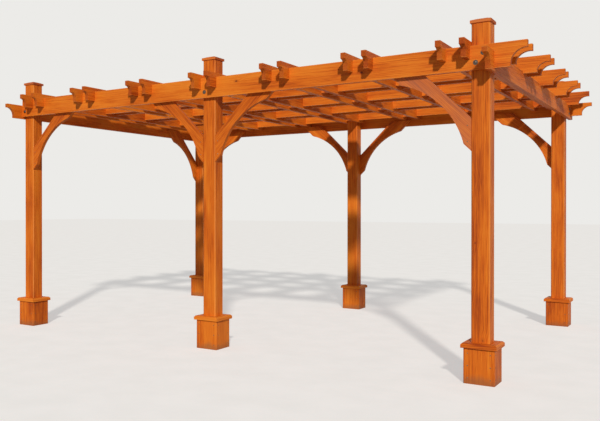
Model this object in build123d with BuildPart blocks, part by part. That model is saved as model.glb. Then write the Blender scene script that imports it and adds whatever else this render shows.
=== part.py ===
"""A free-standing timber pergola on six posts, with an open roof grid of crossed boards.

The frame stands on the ground at Z = 0. X runs along the two bays of the long side, -Y is the
front with the deep beam, and the origin is in the middle of the plan. Sizes are in millimetres.
"""
from build123d import *
import math
import os

# Plan, between post centres
bay_span = 2520
frame_depth = 3432

# Posts
post_size = 140
post_height = 2780
post_easing = 8

# Post caps
cap_overhang = 9
cap_edge = 22
cap_rise = 14
cap_taper = 70

# Boxed foot of a post and the collar on it
foot_wall = 46
foot_height = 275
foot_easing = 5
collar_overhang = 18
collar_thickness = 38
collar_bevel = 12

# Boards of the roof, their undersides measured down from the tops of the posts
board_thickness = 40
lap_gap = 0.3
front_beam_drop = 368
front_beam_height = 188
front_inner_height = 140
side_beam_drop = 391
side_beam_height = 152
rear_beam_drop = 360
rear_beam_height = 140
purlin_drop = 255
purlin_height = 140
rafter_drop = 281
rafter_height = 140

# Pairs of boards across and along the roof, and the first and last purlin pairs' plan places
rafter_pair_count = 7
purlin_pair_count = 3
purlin_front_gap = 1030
purlin_rear_gap = 850

# Board tails, with reach and riser measured out from the centre of the end post
purlin_tail_reach = 324
purlin_tail_nose = 56
purlin_riser_reach = 220
purlin_riser_height = 27
rafter_tail_reach = 270
rafter_tail_nose = 48
rafter_riser_reach = 218
rafter_riser_height = 48
front_tail_reach = 342
front_tail_nose = 52
front_riser_reach = 223
front_riser_height = 27
low_tail_reach = 328
low_tail_nose = 40
low_riser_reach = 228
low_riser_height = 36

# Knee braces
brace_thickness = 40
brace_drop = 617
brace_board_width = 180
brace_flat = 58
brace_hollow = 98
brace_clearance = 4

# Values worked out from the sizes above
half_length = bay_span
half_depth = frame_depth / 2
post_half = post_size / 2
foot_size = post_size + 2 * foot_wall
board_offset = post_half + board_thickness / 2
front_y = -half_depth - board_offset
rear_y = half_depth + board_offset
side_x = half_length + board_offset
front_beam_bottom = post_height - front_beam_drop
side_beam_bottom = post_height - side_beam_drop
rear_beam_bottom = post_height - rear_beam_drop
purlin_bottom = post_height - purlin_drop
rafter_bottom = post_height - rafter_drop
front_beam_top = front_beam_bottom + front_beam_height
side_beam_top = side_beam_bottom + side_beam_height
rear_beam_top = rear_beam_bottom + rear_beam_height
purlin_top = purlin_bottom + purlin_height
rafter_top = rafter_bottom + rafter_height
brace_top = rafter_bottom - brace_clearance
slot_width = board_thickness + 2 * lap_gap
over_cut = 2 * board_thickness

# The front beam has a board on both faces of its posts, and a roof board lies inside the rear ones
front_beam_ys = [front_y, front_y + 2 * board_offset]
inner_rear_y = rear_y - 2 * board_offset
first_pair_y = -half_depth + purlin_front_gap
purlin_pitch = (half_depth - purlin_rear_gap - first_pair_y) / (purlin_pair_count - 1)
pair_ys = [first_pair_y + purlin_pitch * i for i in range(purlin_pair_count)]
purlin_ys = [y + side * board_offset for y in pair_ys for side in (-1, 1)]
roof_board_ys = purlin_ys + [inner_rear_y]

# The end pairs lie against the inner faces of the end posts, the middle pair on both sides of one
end_pair_x = half_length - 2 * board_offset
rafter_pitch = 2 * end_pair_x / (rafter_pair_count - 1)
pair_xs = [-end_pair_x + rafter_pitch * i for i in range(rafter_pair_count)]
rafter_xs = [x + side * board_offset for x in pair_xs for side in (-1, 1)]

# Level of each half lap, midway up the height that two crossing boards share
front_lap = (rafter_bottom + front_beam_top) / 2
purlin_lap = (purlin_bottom + rafter_top) / 2
rear_lap = (rafter_bottom + rear_beam_top) / 2
side_front_lap = (front_beam_bottom + side_beam_top) / 2
side_purlin_lap = (purlin_bottom + side_beam_top) / 2
side_rear_lap = (rear_beam_bottom + side_beam_top) / 2

columns = {"left": -half_length, "middle": 0, "right": half_length}
rows = {"front": -half_depth, "rear": half_depth}
purlin_tail = (purlin_tail_reach, purlin_tail_nose, purlin_riser_reach, purlin_riser_height)
rafter_tail = (rafter_tail_reach, rafter_tail_nose, rafter_riser_reach, rafter_riser_height)
front_tail = (front_tail_reach, front_tail_nose, front_riser_reach, front_riser_height)
low_tail = (low_tail_reach, low_tail_nose, low_riser_reach, low_riser_height)

os.makedirs("parts", exist_ok=True)


def save(part, name):
    """Label a finished piece and write its file."""
    part.label = name
    export_step(part, f"parts/{name}.step")


def tail_end(side, half_span, tail, bottom, top):
    """Draw one shaped end of a board from foot to top corner, with a quarter-round cove."""
    reach, nose, riser_reach, riser_height = tail
    diagonal = math.cos(math.radians(45))
    cove_x = reach - (reach - riser_reach) * diagonal
    cove_z = bottom + riser_height + (top - nose - bottom - riser_height) * diagonal

    def at(distance, level):
        return side * (half_span + distance), level

    foot = at(riser_reach, bottom)
    riser = at(riser_reach, bottom + riser_height)
    tip = at(reach, top - nose)
    corner = at(reach, top)
    Line(foot, riser)
    ThreePointArc(riser, at(cove_x, cove_z), tip)
    Line(tip, corner)
    return foot, corner


def two_tails(half_span, tail, bottom, top):
    """Draw a board's side view with the same tail beyond both end posts."""
    left_foot, left_corner = tail_end(-1, half_span, tail, bottom, top)
    right_foot, right_corner = tail_end(1, half_span, tail, bottom, top)
    Line(left_foot, right_foot)
    Line(left_corner, right_corner)


def cut_slots(places, width, length, low, high):
    """Cut upright slots, width along X and length along Y, at plan places between two levels."""
    with Locations(*[(x, y, (low + high) / 2) for x, y in places]):
        Box(width, length, high - low, mode=Mode.SUBTRACT)


def cut_from_above(places, width, length, level):
    """Cut slots from the lap level up through the board's top."""
    cut_slots(places, width, length, level, purlin_top + over_cut)


def cut_from_below(places, width, length, level):
    """Cut slots from under the board up to the lap level."""
    cut_slots(places, width, length, side_beam_bottom - over_cut, level)


# Posts with their caps, boxed feet and collars
for row, y in rows.items():
    for column, x in columns.items():
        place = f"{row}_{column}"

        with BuildPart() as post:
            with BuildSketch():
                with Locations((x, y)):
                    Rectangle(post_size, post_size)
            extrude(amount=post_height)
            chamfer(post.edges().filter_by(Axis.Z), length=post_easing)
        save(post.part, f"post_{place}")

        with BuildPart() as cap:
            with BuildSketch(Plane.XY.offset(post_height)):
                with Locations((x, y)):
                    Rectangle(post_size + 2 * cap_overhang, post_size + 2 * cap_overhang)
            extrude(amount=cap_edge)
            extrude(cap.faces().sort_by(Axis.Z)[-1], amount=cap_rise, taper=cap_taper)
        save(cap.part, f"cap_{place}")

        with BuildPart() as foot_box:
            with BuildSketch():
                with Locations((x, y)):
                    Rectangle(foot_size, foot_size)
            extrude(amount=foot_height)
            chamfer(foot_box.edges().filter_by(Axis.Z), length=foot_easing)
            with BuildSketch():
                with Locations((x, y)):
                    Rectangle(post_size, post_size)
            extrude(amount=foot_height, mode=Mode.SUBTRACT)
        save(foot_box.part, f"foot_box_{place}")

        with BuildPart() as collar:
            with BuildSketch(Plane.XY.offset(foot_height)):
                with Locations((x, y)):
                    Rectangle(foot_size + 2 * collar_overhang, foot_size + 2 * collar_overhang)
            extrude(amount=collar_thickness)
            chamfer(collar.faces().sort_by(Axis.Z)[-1].edges(), length=collar_bevel)
            with BuildSketch(Plane.XY.offset(foot_height)):
                with Locations((x, y)):
                    Rectangle(post_size, post_size)
            extrude(amount=collar_thickness, mode=Mode.SUBTRACT)
        save(collar.part, f"collar_{place}")

def roof_board(y):
    """Make one board along the roof, half lapped over the side beams and the rafters."""
    with BuildPart() as board:
        with BuildSketch(Plane.XZ.offset(-y)):
            with BuildLine():
                two_tails(half_length, purlin_tail, purlin_bottom, purlin_top)
            make_face()
        extrude(amount=board_thickness / 2, both=True)
        cut_from_below([(x, y) for x in rafter_xs], slot_width, over_cut, purlin_lap)
        cut_from_below([(-side_x, y), (side_x, y)], slot_width, over_cut, side_purlin_lap)
    return board.part


def front_board(y, bottom):
    """Make one board of the front beam, its left end square against the side beam."""
    end_x = -half_length - post_half
    with BuildPart() as board:
        with BuildSketch(Plane.XZ.offset(-y)):
            with BuildLine():
                foot, corner = tail_end(1, half_length, front_tail, bottom, front_beam_top)
                Polyline(foot, (end_x, bottom), (end_x, front_beam_top), corner)
            make_face()
        extrude(amount=board_thickness / 2, both=True)
        cut_from_above([(x, y) for x in rafter_xs], slot_width, over_cut, front_lap)
        cut_from_below([(side_x, y)], slot_width, over_cut, side_front_lap)
    return board.part


# Front beam: two boards that clasp the posts, the inner one shallower, their tops level
with BuildPart() as front_beam_pair:
    for y, bottom in zip(front_beam_ys, (front_beam_bottom, front_beam_top - front_inner_height)):
        add(front_board(y, bottom))
save(front_beam_pair.part, "front_beam_pair")

# Shallower rear beam on the posts' rear faces, and the board on their inner faces
with BuildPart() as rear_beam_pair:
    with BuildSketch(Plane.XZ.offset(-rear_y)):
        with BuildLine():
            two_tails(half_length, low_tail, rear_beam_bottom, rear_beam_top)
        make_face()
    extrude(amount=board_thickness / 2, both=True)
    cut_from_above([(x, rear_y) for x in rafter_xs], slot_width, over_cut, rear_lap)
    cut_from_below([(-side_x, rear_y), (side_x, rear_y)], slot_width, over_cut, side_rear_lap)
    add(roof_board(inner_rear_y))
save(rear_beam_pair.part, "rear_beam_pair")

# Side beams on the outer faces of the end posts, carrying the purlins
for side, name in ((-1, "left"), (1, "right")):
    x = side * side_x
    with BuildPart() as side_beam:
        with BuildSketch(Plane.YZ.offset(x)):
            with BuildLine():
                two_tails(half_depth, low_tail, side_beam_bottom, side_beam_top)
            make_face()
        extrude(amount=board_thickness / 2, both=True)
        cut_from_above([(x, y) for y in roof_board_ys], over_cut, slot_width, side_purlin_lap)
        cut_from_above([(x, rear_y)], over_cut, slot_width, side_rear_lap)
        if side == 1:
            cut_from_above([(x, y) for y in front_beam_ys], over_cut, slot_width, side_front_lap)
    save(side_beam.part, f"side_beam_{name}")

# Purlins along the roof between the two rows, two boards a post's width apart in each pair
for number, y in enumerate(pair_ys, 1):
    with BuildPart() as purlin_pair:
        add(roof_board(y - board_offset))
        add(roof_board(y + board_offset))
    save(purlin_pair.part, f"purlin_pair_{number}")

# Rafters across the roof, two boards a post's width apart in each pair
for number, x in enumerate(pair_xs, 1):
    boards = (x - board_offset, x + board_offset)
    with BuildPart() as rafter_pair:
        with BuildSketch(*[Plane.YZ.offset(board_x) for board_x in boards]):
            with BuildLine():
                two_tails(half_depth, rafter_tail, rafter_bottom, rafter_top)
            make_face()
        extrude(amount=board_thickness / 2, both=True)
        front_crossings = [(board_x, y) for board_x in boards for y in front_beam_ys]
        cut_from_below(front_crossings, over_cut, slot_width, front_lap)
        cut_from_below([(board_x, rear_y) for board_x in boards], over_cut, slot_width, rear_lap)
        roof_crossings = [(board_x, y) for board_x in boards for y in roof_board_ys]
        cut_from_above(roof_crossings, over_cut, slot_width, purlin_lap)
    save(rafter_pair.part, f"rafter_pair_{number}")


def brace_outline(seat):
    """Draw a knee brace out from the post's face, its toe flat and its top flat below the seat."""
    toe = seat - brace_drop
    width_down = brace_board_width * math.sqrt(2)
    arc_start = (brace_flat, toe + brace_flat)
    arc_end = (brace_drop - brace_flat, seat - brace_flat)
    shift = brace_hollow / math.sqrt(2)
    arc_middle = ((arc_start[0] + arc_end[0]) / 2 - shift, (arc_start[1] + arc_end[1]) / 2 + shift)
    Line((0, toe), arc_start)
    ThreePointArc(arc_start, arc_middle, arc_end)
    Polyline(
        arc_end,
        (brace_top - toe, brace_top),
        (brace_top - toe - width_down, brace_top),
        (0, toe + width_down),
        (0, toe),
    )


def brace_plane(face, direction, inward):
    """Plane of a brace: its origin on the post's face, X outward from the post, Y straight up."""
    normal = Vector(*direction).cross(Vector(0, 0, 1))
    flip = 1 if normal.dot(Vector(*inward)) > 0 else -1
    return Plane(origin=face, x_dir=direction, z_dir=normal), flip * brace_thickness


# Knee braces along the long sides, flush with the outer faces of the posts and behind the beams
brace_sides = {"left": (1,), "middle": (-1, 1), "right": (-1,)}
for row, y in rows.items():
    outward = -1 if row == "front" else 1
    seat = front_beam_bottom if row == "front" else rear_beam_bottom
    for column, x in columns.items():
        with BuildPart() as braces:
            for way in brace_sides[column]:
                corner = (x + way * post_half, y + outward * post_half, 0)
                plane, thickness = brace_plane(corner, (way, 0, 0), (0, -outward, 0))
                with BuildSketch(plane):
                    with BuildLine():
                        brace_outline(seat)
                    make_face()
                extrude(amount=thickness)
            if (row, column) == ("rear", "left"):
                corner = (x - post_half, y - post_half, 0)
                plane, thickness = brace_plane(corner, (0, -1, 0), (1, 0, 0))
                with BuildSketch(plane):
                    with BuildLine():
                        brace_outline(side_beam_bottom)
                    make_face()
                extrude(amount=thickness)
        save(braces.part, f"braces_{row}_{column}")
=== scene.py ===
"""Looks of the timber pergola: stained wood on every board, with its mitres, bolts and screws.

Everything is in metres in the model's own frame: X along the two bays, -Y the front, Z up.
"""
import math
import bpy
import numpy as np
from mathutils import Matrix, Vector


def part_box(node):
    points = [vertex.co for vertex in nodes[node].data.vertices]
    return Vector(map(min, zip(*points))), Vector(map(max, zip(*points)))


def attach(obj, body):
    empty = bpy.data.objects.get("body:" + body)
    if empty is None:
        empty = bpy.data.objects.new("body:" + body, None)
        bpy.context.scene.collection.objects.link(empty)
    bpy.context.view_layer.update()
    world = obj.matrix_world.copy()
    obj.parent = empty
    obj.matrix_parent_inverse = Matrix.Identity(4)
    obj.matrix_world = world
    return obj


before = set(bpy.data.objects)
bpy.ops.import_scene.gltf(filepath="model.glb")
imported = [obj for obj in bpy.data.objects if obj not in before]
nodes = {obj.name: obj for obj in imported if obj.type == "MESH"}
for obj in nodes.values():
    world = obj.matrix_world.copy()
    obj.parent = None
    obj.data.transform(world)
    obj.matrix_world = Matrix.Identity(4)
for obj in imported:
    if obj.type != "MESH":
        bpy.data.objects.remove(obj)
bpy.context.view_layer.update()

columns = ("left", "middle", "right")
rows = ("front", "rear")
post_places = [f"{row}_{column}" for row in rows for column in columns]

# Levels of the boards in the two beam pairs, since a pair's box only gives its outermost ones
front_low, front_high = 2.412, 2.600
front_inner_low = 2.460
rear_low, rear_high = 2.420, 2.560

# How far each row of posts is from the middle, and each board of a pair from the pair's middle
post_row = 1.716
board_offset = 0.09


def middle(node):
    """The middle of a node's box."""
    low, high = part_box(node)
    return (np.array(low) + np.array(high)) / 2


def box_end(node, end, axis):
    """Where a node's box ends along an axis, at its low end, 0, or its high end, 1."""
    return float(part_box(node)[end][axis])


def level_range(node):
    """The lowest and highest level of a node."""
    return box_end(node, 0, 2), box_end(node, 1, 2)


def new_object(name, data):
    """A new object at the origin of the scene."""
    made = bpy.data.objects.new(name, data)
    bpy.context.scene.collection.objects.link(made)
    return made


# ---------------------------------------------------------------- shader arithmetic


class Value:
    """One output socket that takes part in plain arithmetic, each sum adding its Math node."""

    def __init__(self, mix, socket):
        self.mix = mix
        self.socket = socket

    def math(self, operation, other=None):
        """A Math node of this value and, where the operation takes two, another."""
        sockets = {0: self} if other is None else {0: self, 1: other}
        return self.mix.node("ShaderNodeMath", {"operation": operation}, sockets)

    def __add__(self, other):
        return self.math("ADD", other)

    __radd__ = __add__

    def __mul__(self, other):
        return self.math("MULTIPLY", other)

    __rmul__ = __mul__

    def __sub__(self, other):
        return self.math("SUBTRACT", other)

    def __rsub__(self, other):
        return self.math("MULTIPLY", -1.0) + other

    def __truediv__(self, other):
        return self.math("DIVIDE", other)

    def __abs__(self):
        return self.math("ABSOLUTE")

    def sine(self):
        return self.math("SINE")

    def larger(self, other):
        return self.math("MAXIMUM", other)

    def smaller(self, other):
        return self.math("MINIMUM", other)

    def fade(self, start, end):
        """Smooth change from 0 where the value is start to 1 where it is end."""
        settings = {"interpolation_type": "SMOOTHSTEP"}
        if start < end:
            return self.mix.node("ShaderNodeMapRange", settings, {0: self, 1: start, 2: end})
        return 1 - self.mix.node("ShaderNodeMapRange", settings, {0: self, 1: end, 2: start})


class Mix:
    """A node tree being filled, for the world or a material."""

    def __init__(self, tree):
        self.tree = tree
        tree.nodes.clear()

    def feed(self, socket, given):
        """Link a value to the socket, or set a number or colour on it."""
        if isinstance(given, Value):
            self.tree.links.new(given.socket, socket)
        else:
            socket.default_value = given

    def node(self, kind, settings=None, sockets=None):
        """Add a node, its settings first, then what goes into its sockets."""
        made = self.tree.nodes.new(kind)
        for name, setting in (settings or {}).items():
            setattr(made, name, setting)
        for name, given in (sockets or {}).items():
            self.feed(made.inputs[name], given)
        return Value(self, made.outputs[0])

    def output(self, kind, shader):
        """Add the output node that the shader ends in."""
        made = self.tree.nodes.new(kind)
        self.feed(made.inputs["Surface"], shader)

    def seen(self):
        """1 in what the camera sees, directly or in a mirror or glass, and otherwise 0."""
        path = self.node("ShaderNodeLightPath").socket.node
        rays = [Value(self, path.outputs[f"Is {ray} Ray"]) for ray in ("Camera", "Glossy")]
        through = Value(self, path.outputs["Is Transmission Ray"])
        return rays[0].larger(rays[1]).larger(through)


class Finish(Mix):
    """A material being mixed for one kind of board or metal."""

    def __init__(self, name):
        self.material = bpy.data.materials.new(name)
        self.material.use_nodes = True
        super().__init__(self.material.node_tree)

    def parts_of(self, vector):
        """The three numbers of a vector."""
        split = self.node("ShaderNodeSeparateXYZ", None, {0: vector}).socket.node
        return [Value(self, socket) for socket in split.outputs]

    def surface_facts(self, fact):
        """The three numbers of Object, the point's place, or Normal, the way it faces."""
        made = self.node("ShaderNodeTexCoord").socket.node
        return self.parts_of(Value(self, made.outputs[fact]))

    def facing(self, axis):
        """How squarely the surface faces along an axis, either way, from 0 to 1."""
        return abs(self.surface_facts("Normal")[axis])

    def vector(self, x, y, z):
        return self.node("ShaderNodeCombineXYZ", None, {0: x, 1: y, 2: z})

    def noise(self, vector, detail=2.0, roughness=0.5):
        """Smooth noise about 0.5, one lump to a unit of the vector."""
        sockets = {"Vector": vector, "Scale": 1.0, "Detail": detail, "Roughness": roughness}
        return self.node("ShaderNodeTexNoise", None, sockets)

    def blend(self, share, first, second):
        """Colour that goes from the first to the second as the share goes from 0 to 1."""
        made = self.node("ShaderNodeMix", {"data_type": "RGBA"}).socket.node
        for name, given in {"Factor": share, "A": first, "B": second}.items():
            self.feed([s for s in made.inputs if s.name == name and s.enabled][0], given)
        return Value(self, [s for s in made.outputs if s.enabled][0])

    def surface(self, colour, roughness, height, depth, others):
        """Finish with the shader itself, a bump of the given depth and its other sockets."""
        relief = {"Height": height, "Distance": depth, "Strength": 1.0}
        bump = self.node("ShaderNodeBump", None, relief)
        sockets = {"Base Color": colour, "Roughness": roughness, "Normal": bump}
        shader = self.node("ShaderNodeBsdfPrincipled", None, {**sockets, **others})
        self.output("ShaderNodeOutputMaterial", shader)
        return self.material


def rgb(red, green, blue):
    """Linear colour with full alpha from the 0 to 255 numbers of a screen colour."""
    parts = [part / 255 for part in (red, green, blue)]
    linear = [p / 12.92 if p <= 0.04045 else ((p + 0.055) / 1.055) ** 2.4 for p in parts]
    return (*linear, 1.0)


# ---------------------------------------------------------------- stained wood

stain_pale = rgb(226, 128, 34)
stain_body = rgb(208, 100, 16)
stain_deep = rgb(140, 50, 8)
knot_brown = rgb(92, 34, 12)
end_brown = rgb(146, 54, 12)
# Paler wood for worn edges and corners, which is also a painted highlight along them
worn_and_highlight_pale = rgb(236, 156, 74)
bleached = rgb(184, 122, 92)
soil = rgb(120, 84, 58)
joint_dark = rgb(52, 22, 10)

# Growth lines: their spacing, and how far noise and a near knot bend them, in radians. On a cut
# end: how far noise bends them, and how far they turn in a metre.
ring_spacing = 0.011
noise_bend = 34
knot_bend = 9
end_noise_bend = 20
end_ring_rate = 900

# Knots: the width of the cells that each hold one, and the largest radius as a share of that
knot_cell = 0.24
largest_knot = 0.055

base_shade = 0.20
base_roughness = 0.45
grain_depth = 0.0012
oiled = {"Coat Weight": 0.03, "Coat Roughness": 0.3, "Specular IOR Level": 0.2}

# Where worn edges and corners with their painted highlight, a mitre's joint and the splashes start
# to show, and where they are full; and how far the splashes' edge wavers
arris_wear_and_highlight = (0.006, 0.001)
corner_wear_and_highlight = (0.012, 0.004)
mitre_joint = (0.0016, 0.0006)
splash_fade = (0.075, 0.0)
splash_waver = 0.12


def stained_wood(name, run, tone=0.0, bleach=0.0, marks=None):
    """Stained softwood with its grain along the board.

    run(finish, x, y, z) gives the distance along the grain, the distances across the face and
    through the board, and a mask of the cut ends. Growth lines are a sine of the distance across,
    bent by slow noise and round the knots; fibres are noise drawn out along the grain. Tone makes
    a whole board darker, bleach greyer, and marks(finish, colour, x, y, z, streak, cloud) adds
    its wear and dirt, and on edges and posts a painted highlight and painted shade.
    """
    finish = Finish(name)
    x, y, z = finish.surface_facts("Object")
    along, across, through, end = run(finish, x, y, z)

    def scaled(along_rate, across_rate, through_rate):
        return finish.vector(along * along_rate, across * across_rate, through * through_rate)

    board = finish.noise(scaled(0.35, 4.1, 4.1), 1.0)
    cloud = finish.noise(scaled(2.4, 9, 9), 3.0)
    bend = finish.noise(scaled(1.3, 10, 6), 2.0)
    fibre = finish.noise(scaled(16, 380, 380), 2.0)
    streak = finish.noise(scaled(2.6, 70, 70), 3.0, 0.6)

    cell_place = scaled(0.6 / knot_cell, 1 / knot_cell, 0.4 / knot_cell)
    off_middle = finish.node("ShaderNodeTexVoronoi", None, {"Vector": cell_place, "Scale": 1.0})
    chance = finish.parts_of(Value(finish, off_middle.socket.node.outputs["Color"]))[0]
    knot_size = chance.fade(0.5, 1.0) * largest_knot + 0.001
    off_knot = off_middle / knot_size
    knot = off_knot.fade(1.15, 0.8)
    knot_rim = off_knot.fade(2.6, 1.0)
    swirl = off_middle.fade(0.30, 0.0) * chance.fade(0.4, 0.9)

    turn = (across + through * 0.7) * (2 * math.pi / ring_spacing)
    ring = (turn + bend * noise_bend + swirl * knot_bend).sine() * 0.5 + 0.5
    ring = ring * ring

    shade = ring * 0.32 + (streak - 0.5) * 1.4 + (fibre - 0.5) * 0.6 + base_shade + tone
    shade = shade + (cloud - 0.5) * 1.2 + (board - 0.5) * 1.3
    colour = finish.blend(shade.fade(-0.25, 0.55), stain_pale, stain_body)
    colour = finish.blend(shade.fade(0.30, 1.05) * 0.9, colour, stain_deep)
    if bleach:
        colour = finish.blend(cloud.fade(0.25, 0.75) * 0.3 + bleach, colour, bleached)
    colour = finish.blend(knot_rim * 0.35 * chance, colour, stain_deep)
    colour = finish.blend(knot * 0.9, colour, knot_brown)
    end_turn = (across + through * 0.4) * end_ring_rate + bend * end_noise_bend
    colour = finish.blend(end * (end_turn.sine() * 0.25 + 0.55), colour, end_brown)
    if marks:
        colour = marks(finish, colour, x, y, z, streak, cloud)

    roughness = fibre * 0.14 + ring * 0.06 + end * 0.14 + cloud * 0.12 + base_roughness
    height = fibre * 0.5 + streak * 0.5 - ring * 0.25 - knot * 0.6
    return finish.surface(colour, roughness, height, grain_depth, oiled)


def worn_and_highlit_levels(low, high, outer_low=None, outer_high=None):
    """Marks for boards on edge: top and bottom arrises paler over a few millimetres, partly rubbed
    and partly a painted highlight.

    In a beam pair the board outside the posts has levels of its own.
    """

    def marks(finish, colour, x, y, z, streak, cloud):
        side_face = finish.facing(2).fade(0.7, 0.3)
        bottom, top = low, high
        if outer_low is not None:
            outside = abs(y).fade(post_row - 0.01, post_row + 0.01)
            bottom = outside * (outer_low - low) + low
            top = outside * (outer_high - high) + high
        from_arris = (z - bottom).smaller(top - z)
        # Arrises paler: partly wear, partly a painted highlight along the board's edges
        rubbed_and_highlit = from_arris.fade(*arris_wear_and_highlight) * streak.fade(0.35, 0.6) * side_face
        return finish.blend(rubbed_and_highlit * 0.6, colour, worn_and_highlight_pale)

    return marks


def splashed(finish, colour, z, cloud):
    """Soil on the lowest centimetres, fading upwards along a wavy edge."""
    splash = (z + (cloud - 0.5) * splash_waver).fade(*splash_fade)
    return finish.blend(splash * 0.55, colour, soil)


def post_marks(centre, half):
    """Marks for an upright: corners paler from wear and a painted highlight, painted shade in
    streaks towards the top under the roof, and a splashed foot.
    """
    cx, cy = float(centre[0]), float(centre[1])

    def marks(finish, colour, x, y, z, streak, cloud):
        from_corner = half - abs(x - cx).smaller(abs(y - cy))
        # Corners paler: partly wear, partly a painted highlight along the post's corners
        rubbed_and_highlit = from_corner.fade(*corner_wear_and_highlight) * streak.fade(0.3, 0.6)
        colour = finish.blend(rubbed_and_highlit * 0.5, colour, worn_and_highlight_pale)
        # Painted shade: darker streaks towards the top of the post, under the roof
        painted_roof_shade = z.fade(1.6, 2.8) * streak.fade(0.45, 0.75) * 0.35
        colour = finish.blend(painted_roof_shade, colour, stain_deep)
        return splashed(finish, colour, z, cloud)

    return marks


def mitred(centre):
    """Marks for a ring of four boards: a hairline joint on each diagonal, and splashes."""
    cx, cy = float(centre[0]), float(centre[1])

    def marks(finish, colour, x, y, z, streak, cloud):
        off_joint = abs(abs(x - cx) - abs(y - cy))
        level_face = finish.facing(2).fade(0.1, 0.25)
        colour = finish.blend(off_joint.fade(*mitre_joint) * level_face, colour, joint_dark)
        return splashed(finish, colour, z, cloud)

    return marks


def grain_x(finish, x, y, z):
    """Grain along X, with the ends cut square."""
    return x, z, y, finish.facing(0).fade(0.75, 0.95)


def grain_y(finish, x, y, z):
    """Grain along Y, with the ends cut square."""
    return y, z, x, finish.facing(1).fade(0.75, 0.95)


def grain_z(finish, x, y, z):
    """Grain upright, with the ends cut square."""
    return z, x, y, finish.facing(2).fade(0.75, 0.95)


def grain_round(centre):
    """Grain that follows the four sides of a square ring, which shows no cut end."""
    cx, cy = float(centre[0]), float(centre[1])
    apart = 3.0

    def run(finish, x, y, z):
        dx, dy = abs(x - cx), abs(y - cy)
        front_or_rear = (dy - dx).fade(-0.0005, 0.0005)
        along = x * front_or_rear + y * (1 - front_or_rear) + front_or_rear * apart
        return along, dx.larger(dy), z, 0.0

    return run


def grain_brace(centre):
    """Grain that climbs at 45 degrees away from the post."""
    cx, cy = float(centre[0]), float(centre[1])
    slope = math.sqrt(0.5)

    def run(finish, x, y, z):
        out = abs(x - cx).larger(abs(y - cy))
        through = abs(x - cx).smaller(abs(y - cy))
        return (out + z) * slope, (z - out) * slope, through, finish.facing(2).fade(0.90, 0.99)

    return run


def dress(node, material):
    """Put the material in all of the node's slots."""
    mesh = nodes[node].data
    if not mesh.materials:
        mesh.materials.append(material)
    for place in range(len(mesh.materials)):
        mesh.materials[place] = material


post_tones = (0.02, -0.04, 0.16, 0.06, 0.0, 0.04)
brace_bleach = {"front_right": 0.22}

for place, tone in zip(post_places, post_tones):
    centre = middle(f"post_{place}")
    half_post = float(box_end(f"post_{place}", 1, 0) - centre[0])
    ring_marks = mitred(centre)
    finishes = {
        "post": ("post_wood", grain_z, tone, 0.0, post_marks(centre, half_post)),
        "foot_box": ("foot_wood", grain_z, tone + 0.05, 0.0, ring_marks),
        "collar": ("collar_wood", grain_round(centre), tone - 0.05, 0.0, ring_marks),
        "cap": ("cap_wood", grain_x, tone - 0.12, 0.06),
        "braces": ("brace_wood", grain_brace(centre), 0.05, brace_bleach.get(place, 0.0)),
    }
    for kind, (wood, *look) in finishes.items():
        dress(f"{kind}_{place}", stained_wood(f"{wood}_{place}", *look))

purlin_low, purlin_high = level_range("purlin_pair_1")
rafter_low, rafter_high = level_range("rafter_pair_1")
side_low, side_high = level_range("side_beam_left")

# Each board's marks: arrises paler from wear and a painted highlight
front_marks = worn_and_highlit_levels(front_inner_low, front_high, front_low, front_high)
rear_marks = worn_and_highlit_levels(purlin_low, purlin_high, rear_low, rear_high)
side_marks = worn_and_highlit_levels(side_low, side_high)
purlin_marks = worn_and_highlit_levels(purlin_low, purlin_high)
rafter_marks = worn_and_highlit_levels(rafter_low, rafter_high)
board_woods = {
    "front_beam": stained_wood("front_beam_wood", grain_x, -0.08, 0.0, front_marks),
    "rear_beam": stained_wood("rear_beam_wood", grain_x, 0.02, 0.0, rear_marks),
    "side_beam": stained_wood("side_beam_wood", grain_y, 0.04, 0.0, side_marks),
    "purlin": stained_wood("purlin_wood", grain_x, 0.02, 0.0, purlin_marks),
    "rafter": stained_wood("rafter_wood", grain_y, 0.08, 0.0, rafter_marks),
}
for name in nodes:
    for kind, wood in board_woods.items():
        if name.startswith(kind):
            dress(name, wood)

# ---------------------------------------------------------------- bolts and screws


def zinc(name, colour, rust):
    """Weathered zinc on a bolt head: mottled grey with rusty patches in the dull places."""
    finish = Finish(name)
    x, y, z = finish.surface_facts("Object")
    mottle = finish.noise(finish.vector(x * 140, y * 140, z * 140), 3.0)
    patch = finish.noise(finish.vector(x * 45, y * 45, z * 45), 2.0).fade(0.55, 0.72)
    shine = finish.blend(mottle.fade(0.3, 0.7), colour, rgb(92, 86, 80))
    coat = finish.blend(patch * rust, shine, rgb(110, 58, 28))
    roughness = mottle * 0.3 + patch * 0.25 + 0.25
    metal = 1 - patch * rust * 0.8
    return finish.surface(coat, roughness, mottle, 0.0004, {"Metallic": metal})


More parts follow.
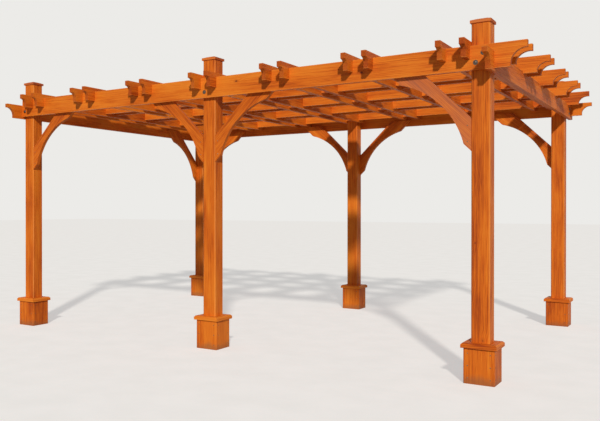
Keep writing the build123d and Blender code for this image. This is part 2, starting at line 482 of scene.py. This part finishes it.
def turned_heads(name, spots, profile, sides, material):
    """Heads turned about their own axes, all in one mesh.

    A head's surface is (radius(t) cos a, radius(t) sin a, height(t)): the profile gives radius and
    height from the rim at the wood to the crown, and a goes round in equal steps. The first and
    last rings close to their middles with fans. Each spot is a head's centre and its outward
    direction, along which its height is measured.
    """
    centres = np.array([centre for centre, _ in spots], dtype=float)
    outward = np.array([way for _, way in spots], dtype=float)
    level = np.abs(outward[:, 2:3]) < 0.5
    helper = np.where(level, np.array([[0, 0, 1.0]]), np.array([[1.0, 0, 0]]))
    across = np.cross(outward, helper)
    upward = np.cross(outward, across)

    radius, height = np.array(profile).T
    angles = 2 * np.pi * np.arange(sides) / sides
    ring_a = np.append(np.outer(radius, np.cos(angles)), [0, 0])
    ring_b = np.append(np.outer(radius, np.sin(angles)), [0, 0])
    ring_h = np.append(np.repeat(height, sides), [height[0], height[-1]])
    points = (
        centres[:, None, :]
        + ring_a[None, :, None] * across[:, None, :]
        + ring_b[None, :, None] * upward[:, None, :]
        + ring_h[None, :, None] * outward[:, None, :]
    )

    count = len(profile)
    first = np.arange(sides)
    following = (first + 1) % sides
    walls = [
        np.stack([first, sides + first, sides + following, following], 1) + ring * sides
        for ring in range(count - 1)
    ]
    base, crown, top = count * sides, count * sides + 1, (count - 1) * sides
    fans = [
        np.stack([np.full(sides, base), first, following], 1),
        np.stack([np.full(sides, crown), top + following, top + first], 1),
    ]
    shift = (np.arange(len(centres)) * (count * sides + 2))[:, None, None]
    wall_faces = (np.concatenate(walls)[None] + shift).reshape(-1, 4)
    fan_faces = (np.concatenate(fans)[None] + shift).reshape(-1, 3)

    mesh = bpy.data.meshes.new(name)
    faces = wall_faces.tolist() + fan_faces.tolist()
    mesh.from_pydata(points.reshape(-1, 3).tolist(), [], faces)
    mesh.update()
    mesh.materials.append(material)
    piece = new_object(name, mesh)
    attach(piece, "root")


# Radius and height of a coach bolt's head on its washer, and of a deck screw's head
bolt_profile = [
    (0.0190, -0.0010), (0.0190, 0.0020), (0.0182, 0.0028), (0.0120, 0.0028), (0.0120, 0.0040),
    (0.0113, 0.0062), (0.0090, 0.0082), (0.0058, 0.0094), (0.0022, 0.0100),
]
screw_profile = [(0.0044, -0.0010), (0.0044, 0.0006), (0.0034, 0.0012), (0.0016, 0.0007)]
bolt_sides, screw_sides = 20, 10

bolt_zinc = zinc("bolt_zinc", rgb(112, 104, 94), 0.9)
screw_zinc = zinc("screw_zinc", rgb(128, 112, 84), 0.5)

# The two bolts of a board at a post: how far from the post's middle, and how far up the board as a
# share of its height
bolt_places = ((-0.028, 0.30), (0.028, 0.68))
# The outer face of each row's beam, the way it looks along Y, and the levels of its outer board;
# and the same for the side beams along X, which share their levels
beam_faces = {
    "front": (box_end("front_beam_pair", 0, 1), -1, front_low, front_high),
    "rear": (box_end("rear_beam_pair", 1, 1), 1, rear_low, rear_high),
}
side_faces = {
    "left": (box_end("side_beam_left", 0, 0), -1),
    "right": (box_end("side_beam_right", 1, 0), 1),
}

spots = []
for place in post_places:
    row, column = place.split("_")
    cx, cy, _ = middle(f"post_{place}")
    face, way, low, high = beam_faces[row]
    for offset, share in bolt_places:
        spots.append(((cx + offset, face, low + share * (high - low)), (0, way, 0)))
    if column in side_faces:
        face, way = side_faces[column]
        for offset, share in bolt_places:
            level = side_low + share * (side_high - side_low)
            spots.append(((face, cy + offset, level), (way, 0, 0)))
turned_heads("coach_bolts", spots, bolt_profile, bolt_sides, bolt_zinc)

# Screws down through the upper board of each crossing: rafters on beams, roof boards on rafters
purlins = [middle(f"purlin_pair_{number}")[1] for number in (1, 2, 3)]
rafters = [middle(f"rafter_pair_{number}")[0] for number in range(1, 8)]
rafter_xs = [x + side * board_offset for x in rafters for side in (-1, 1)]
beam_ys = [-post_row - board_offset, -post_row + board_offset, post_row + board_offset]
roof_board_ys = [post_row - board_offset]
roof_board_ys += [y + side * board_offset for y in purlins for side in (-1, 1)]
points = [(x, y, rafter_high) for x in rafter_xs for y in beam_ys]
points += [(x, y, purlin_high) for x in rafter_xs for y in roof_board_ys]
spots = [(point, (0, 0, 1)) for point in points]
turned_heads("roof_screws", spots, screw_profile, screw_sides, screw_zinc)

# Screws in the four boards of each foot box, beside the upright joints
foot_screw_offsets = (-0.085, 0.085)
foot_screw_levels = (0.045, 0.14, 0.235)

spots = []
for place in post_places:
    low, high = (np.array(corner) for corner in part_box(f"foot_box_{place}"))
    cx, cy, _ = (low + high) / 2
    for way, corner in ((-1, low), (1, high)):
        for offset in foot_screw_offsets:
            for level in foot_screw_levels:
                spots.append(((corner[0], cy + offset, level), (way, 0, 0)))
                spots.append(((cx + offset, corner[1], level), (0, way, 0)))
turned_heads("foot_screws", spots, screw_profile, screw_sides, screw_zinc)

# Screws in the foot of each brace: how far from the post's side, and above the brace's toe.
# The brace across the end reaches lower than the others, so its node's box starts below them.
brace_screw_out = 0.028
brace_screw_ups = (0.075, 0.200)
end_brace_lower = 0.03
brace_ways = {"left": (1,), "middle": (-1, 1), "right": (-1,)}

spots = []
for place in post_places:
    row, column = place.split("_")
    cx, cy, _ = middle(f"post_{place}")
    post_half = float(box_end(f"post_{place}", 1, 0) - cx)
    toe = box_end(f"braces_{place}", 0, 2)
    if place == "rear_left":
        toe += end_brace_lower
    outward = -1 if row == "front" else 1
    for way in brace_ways[column]:
        for up in brace_screw_ups:
            x = cx + way * (post_half + brace_screw_out)
            spots.append(((x, cy + outward * post_half, toe + up), (0, outward, 0)))
turned_heads("brace_screws", spots, screw_profile, screw_sides, screw_zinc)

# ---------------------------------------------------------------- floor, light and camera

floor_reach = 60
floor_lift = 0.46
fill_strength = 0.24
backdrop_colour = rgb(236, 235, 232)
key_azimuth = math.radians(31)
key_height = math.radians(28)


def floor_finish():
    """Matt pale floor; what the camera and mirrors see of it is lifted towards the backdrop."""
    finish = Finish("pale_floor")
    x, y, z = finish.surface_facts("Object")
    mottle = finish.noise(finish.vector(x * 3, y * 3, z), 3.0)
    colour = finish.blend(mottle.fade(0.2, 0.8), rgb(186, 183, 178), rgb(194, 191, 187))
    matt = finish.node("ShaderNodeBsdfDiffuse", None, {"Color": colour})
    glow = {"Color": (1, 1, 1, 1), "Strength": finish.seen() * floor_lift}
    lift = finish.node("ShaderNodeEmission", None, glow)
    both = finish.node("ShaderNodeAddShader", None, {0: matt, 1: lift})
    finish.output("ShaderNodeOutputMaterial", both)
    return finish.material


corners = [(x * floor_reach, y * floor_reach, 0) for x, y in ((-1, -1), (1, -1), (1, 1), (-1, 1))]
floor_mesh = bpy.data.meshes.new("floor")
floor_mesh.from_pydata(corners, [], [(0, 1, 2, 3)])
floor_mesh.materials.append(floor_finish())
floor = new_object("floor", floor_mesh)

# The light that fills the shade comes from all round, and the camera sees a plain backdrop instead
world = bpy.data.worlds.new("studio")
bpy.context.scene.world = world
world.use_nodes = True
sky = Mix(world.node_tree)
fill_light = {"Color": (1.0, 0.98, 0.95, 1), "Strength": fill_strength}
fill = sky.node("ShaderNodeBackground", None, fill_light)
backdrop = sky.node("ShaderNodeBackground", None, {"Color": backdrop_colour})
chosen = sky.node("ShaderNodeMixShader", None, {0: sky.seen(), 1: fill, 2: backdrop})
sky.output("ShaderNodeOutputWorld", chosen)

key = bpy.data.lights.new("key", "SUN")
key.energy = 2.9
key.angle = math.radians(3)
key.color = (1.0, 0.97, 0.92)
key_object = new_object("key", key)
key_object.rotation_euler = (math.pi / 2 - key_height, 0, key_azimuth)

lens = bpy.data.cameras.new("camera")
lens.lens = 44.135
lens.sensor_width = 36
lens.shift_x = 0.1667
camera = new_object("camera", lens)
camera.location = (3.9824, -7.6562, 1.354)
camera.rotation_euler = (math.radians(89.8), 0, math.radians(34.86))
bpy.context.scene.camera = camera

bpy.context.scene.view_settings.view_transform = "Standard"
